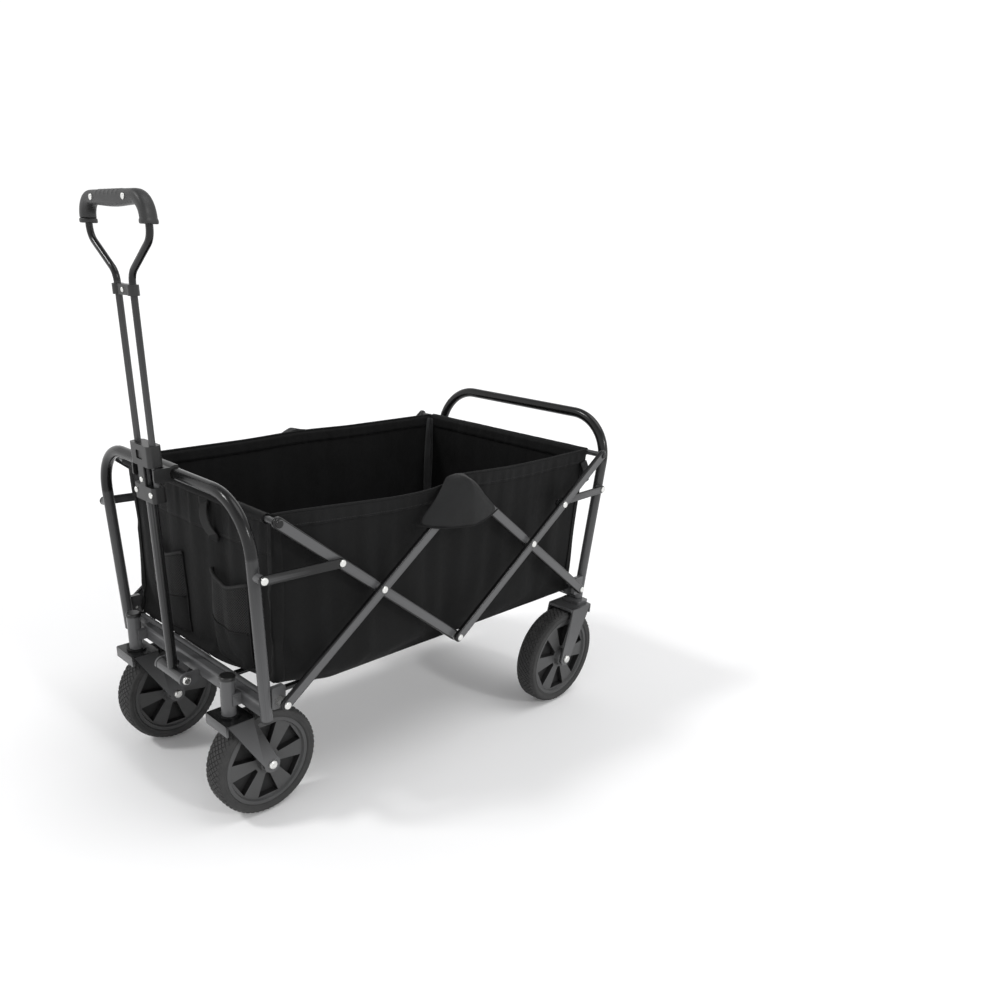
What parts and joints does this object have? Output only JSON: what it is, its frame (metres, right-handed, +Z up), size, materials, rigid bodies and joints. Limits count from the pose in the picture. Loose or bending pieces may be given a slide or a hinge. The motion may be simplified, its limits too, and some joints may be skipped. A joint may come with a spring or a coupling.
{
  "type": "folding camp wagon",
  "caption": "Collapsible pull wagon: steel scissor frame with fabric tub, swivel front casters, fixed rear wheels and a telescoping tilt handle.",
  "frame": {"origin": "bottom centre of the open wagon's bounding box, on the ground", "axes": "+Z up, +Y from the handle end to the rear, +X across the wagon"},
  "size_m": [0.521, 0.9032, 0.9379],
  "materials": {
    "coated_steel": "satin charcoal-black powder coat",
    "bright_rivet": "bright zinc-plated steel",
    "black_plastic": "moulded black nylon, fine grain",
    "grip_plastic": "dark grey moulded grip, textured top",
    "wheel_plastic": "dark grey moulded wheel",
    "tyre_rubber": "dark grey rubber, cross-hatched tread",
    "bag_fabric": "black woven polyester, coated inside",
    "pocket_mesh": "black open mesh with elastic edge"
  },
  "bodies": {
    "front_frame": {"front_u_frame": "coated_steel", "front_crossbar": "coated_steel", "caster_sockets": "coated_steel", "front_caps": "black_plastic", "front_brackets": "coated_steel", "front_pins": "bright_rivet", "handle_clip": "black_plastic"},
    "rear_frame": {"rear_u_frame": "coated_steel", "rear_crossbar": "coated_steel", "rear_caps": "black_plastic", "rear_brackets": "coated_steel", "rear_pins": "bright_rivet", "rear_forks": "coated_steel"},
    "right_b1": {"bar_b1_right": "coated_steel", "rivets_b1_right": "bright_rivet"},
    "right_a1": {"bar_a1_right": "coated_steel", "front_rim_rod": "coated_steel"},
    "right_a2": {"bar_a2_right": "coated_steel", "rivets_a2_right": "bright_rivet", "rear_rim_rod": "coated_steel"},
    "right_b2": {"bar_b2_right": "coated_steel"},
    "left_b1": {"bar_b1_left": "coated_steel", "rivets_b1_left": "bright_rivet"},
    "left_a1": {"bar_a1_left": "coated_steel"},
    "left_a2": {"bar_a2_left": "coated_steel", "rivets_a2_left": "bright_rivet"},
    "left_b2": {"bar_b2_left": "coated_steel"},
    "link_front_right": {"link_front_right": "coated_steel"},
    "link_front_left": {"link_front_left": "coated_steel"},
    "link_rear_right": {"link_rear_right": "coated_steel"},
    "link_rear_left": {"link_rear_left": "coated_steel"},
    "floor_front": {"floor_frame_front": "coated_steel"},
    "floor_rear": {"floor_frame_rear": "coated_steel"},
    "bag": {"bag_front_panel": "bag_fabric", "bag_rear_panel": "bag_fabric", "bag_side_right": "bag_fabric", "bag_side_left": "bag_fabric", "bag_floor": "bag_fabric", "bag_pockets": "pocket_mesh", "bag_flaps": "bag_fabric"},
    "handle_base": {"handle_lower_tube": "coated_steel", "handle_top_bracket": "black_plastic", "handle_bracket_rivet": "bright_rivet"},
    "handle_slider": {"handle_slide_clamp": "black_plastic", "handle_bridge_clamp": "black_plastic", "handle_loop": "coated_steel", "handle_grip": "grip_plastic", "handle_rivets": "bright_rivet"},
    "caster_right": {"caster_fork_right": "coated_steel"},
    "caster_left": {"caster_fork_left": "coated_steel"},
    "wheel_front_right": {"tyre_front_right": "tyre_rubber", "wheel_front_right": "wheel_plastic"},
    "wheel_front_left": {"tyre_front_left": "tyre_rubber", "wheel_front_left": "wheel_plastic"},
    "wheel_rear_right": {"tyre_rear_right": "tyre_rubber", "wheel_rear_right": "wheel_plastic"},
    "wheel_rear_left": {"tyre_rear_left": "tyre_rubber", "wheel_rear_left": "wheel_plastic"}
  },
  "joints": [
    {"name": "fold", "type": "hinge", "parent": "front_frame", "child": "right_b1", "pos_m": [0.2495, -0.35812, 0.243], "axis": [1, 0, 0], "range_deg": [0, 45.5], "deforming": ["bag_front_panel", "bag_rear_panel", "bag_side_right", "bag_side_left", "bag_floor", "bag_pockets", "bag_flaps"]},
    {"name": "right_a1_cross", "type": "hinge", "parent": "right_b1", "child": "right_a1", "pos_m": [0.239, -0.16801, 0.38368], "axis": [1, 0, 0], "range_deg": [-91.02, 0]},
    {"name": "right_a2_low", "type": "hinge", "parent": "right_a1", "child": "right_a2", "pos_m": [0.2495, 0.01688, 0.24687], "axis": [1, 0, 0], "range_deg": [0, 91.02]},
    {"name": "right_b2_cross", "type": "hinge", "parent": "right_a2", "child": "right_b2", "pos_m": [0.239, 0.20177, 0.38368], "axis": [1, 0, 0], "range_deg": [-91.02, 0]},
    {"name": "rear_frame_pivot", "type": "hinge", "parent": "right_b2", "child": "rear_frame", "pos_m": [0.239, 0.39188, 0.243], "axis": [1, 0, 0], "range_deg": [0, 45.52]},
    {"name": "left_b1_pivot", "type": "hinge", "parent": "front_frame", "child": "left_b1", "pos_m": [-0.2495, -0.35812, 0.243], "axis": [1, 0, 0], "range_deg": [0, 45.52]},
    {"name": "left_a1_cross", "type": "hinge", "parent": "left_b1", "child": "left_a1", "pos_m": [-0.239, -0.16801, 0.38368], "axis": [1, 0, 0], "range_deg": [-91.02, 0]},
    {"name": "left_b2_pivot", "type": "hinge", "parent": "rear_frame", "child": "left_b2", "pos_m": [-0.239, 0.39188, 0.243], "axis": [1, 0, 0], "range_deg": [-45.52, 0]},
    {"name": "left_a2_cross", "type": "hinge", "parent": "left_b2", "child": "left_a2", "pos_m": [-0.2495, 0.20177, 0.38368], "axis": [1, 0, 0], "range_deg": [0, 91.02]},
    {"name": "link_front_right_pivot", "type": "hinge", "parent": "front_frame", "child": "link_front_right", "pos_m": [0.2476, -0.39012, 0.449], "axis": [1, 0, 0], "range_deg": [0, 70.46]},
    {"name": "link_rear_right_pivot", "type": "hinge", "parent": "rear_frame", "child": "link_rear_right", "pos_m": [0.2386, 0.42388, 0.449], "axis": [1, 0, 0], "range_deg": [-70.46, 0]},
    {"name": "link_front_left_pivot", "type": "hinge", "parent": "front_frame", "child": "link_front_left", "pos_m": [-0.2476, -0.39012, 0.449], "axis": [1, 0, 0], "range_deg": [0, 70.46]},
    {"name": "link_rear_left_pivot", "type": "hinge", "parent": "rear_frame", "child": "link_rear_left", "pos_m": [-0.2386, 0.42388, 0.449], "axis": [1, 0, 0], "range_deg": [-70.46, 0]},
    {"name": "floor_front_hinge", "type": "hinge", "parent": "front_frame", "child": "floor_front", "pos_m": [0, -0.35812, 0.232], "axis": [1, 0, 0], "range_deg": [0, 86.47]},
    {"name": "floor_rear_hinge", "type": "hinge", "parent": "rear_frame", "child": "floor_rear", "pos_m": [0, 0.39188, 0.232], "axis": [1, 0, 0], "range_deg": [-86.47, 0]},
    {"name": "bag_lift", "type": "slide", "parent": "front_frame", "child": "bag", "axis": [0, 0, 1], "range_m": [0, 0.18725]},
    {"name": "handle_tilt", "type": "hinge", "parent": "front_frame", "child": "handle_base", "pos_m": [0, -0.41012, 0.216], "axis": [1, 0, 0], "range_deg": [0, 95]},
    {"name": "handle_slide", "type": "slide", "parent": "handle_base", "child": "handle_slider", "axis": [0, 0.0401, -0.9992], "range_m": [0, 0.2055]},
    {"name": "caster_swivel_right", "type": "hinge", "parent": "front_frame", "child": "caster_right", "pos_m": [0.154, -0.40012, 0.23], "axis": [0, 0, 1], "continuous": true},
    {"name": "caster_swivel_left", "type": "hinge", "parent": "front_frame", "child": "caster_left", "pos_m": [-0.154, -0.40012, 0.23], "axis": [0, 0, 1], "continuous": true},
    {"name": "wheel_spin_front_right", "type": "hinge", "parent": "caster_right", "child": "wheel_front_right", "pos_m": [0.154, -0.34212, 0.097], "axis": [1, 0, 0], "continuous": true},
    {"name": "wheel_spin_front_left", "type": "hinge", "parent": "caster_left", "child": "wheel_front_left", "pos_m": [-0.154, -0.34212, 0.097], "axis": [1, 0, 0], "continuous": true},
    {"name": "wheel_spin_rear_right", "type": "hinge", "parent": "rear_frame", "child": "wheel_rear_right", "pos_m": [0.2235, 0.34988, 0.101], "axis": [1, 0, 0], "continuous": true},
    {"name": "wheel_spin_rear_left", "type": "hinge", "parent": "rear_frame", "child": "wheel_rear_left", "pos_m": [-0.2235, 0.34988, 0.101], "axis": [1, 0, 0], "continuous": true}
  ],
  "couplings": [
    {"joint": "right_a1_cross", "follows": "fold", "ratio": -2},
    {"joint": "right_a2_low", "follows": "fold", "ratio": 2},
    {"joint": "right_b2_cross", "follows": "fold", "ratio": -2},
    {"joint": "rear_frame_pivot", "follows": "fold", "ratio": 1},
    {"joint": "left_b1_pivot", "follows": "fold", "ratio": 1},
    {"joint": "left_a1_cross", "follows": "fold", "ratio": -2},
    {"joint": "left_b2_pivot", "follows": "fold", "ratio": -1},
    {"joint": "left_a2_cross", "follows": "fold", "ratio": 2},
    {"joint": "link_front_right_pivot", "follows": "fold", "ratio": 1.5482},
    {"joint": "link_rear_right_pivot", "follows": "fold", "ratio": -1.5482},
    {"joint": "link_front_left_pivot", "follows": "fold", "ratio": 1.5482},
    {"joint": "link_rear_left_pivot", "follows": "fold", "ratio": -1.5482},
    {"joint": "floor_front_hinge", "follows": "fold", "ratio": 1.9},
    {"joint": "floor_rear_hinge", "follows": "fold", "ratio": -1.9},
    {"joint": "bag_lift", "follows": "fold", "m_per_rad": 0.23554}
  ]
}
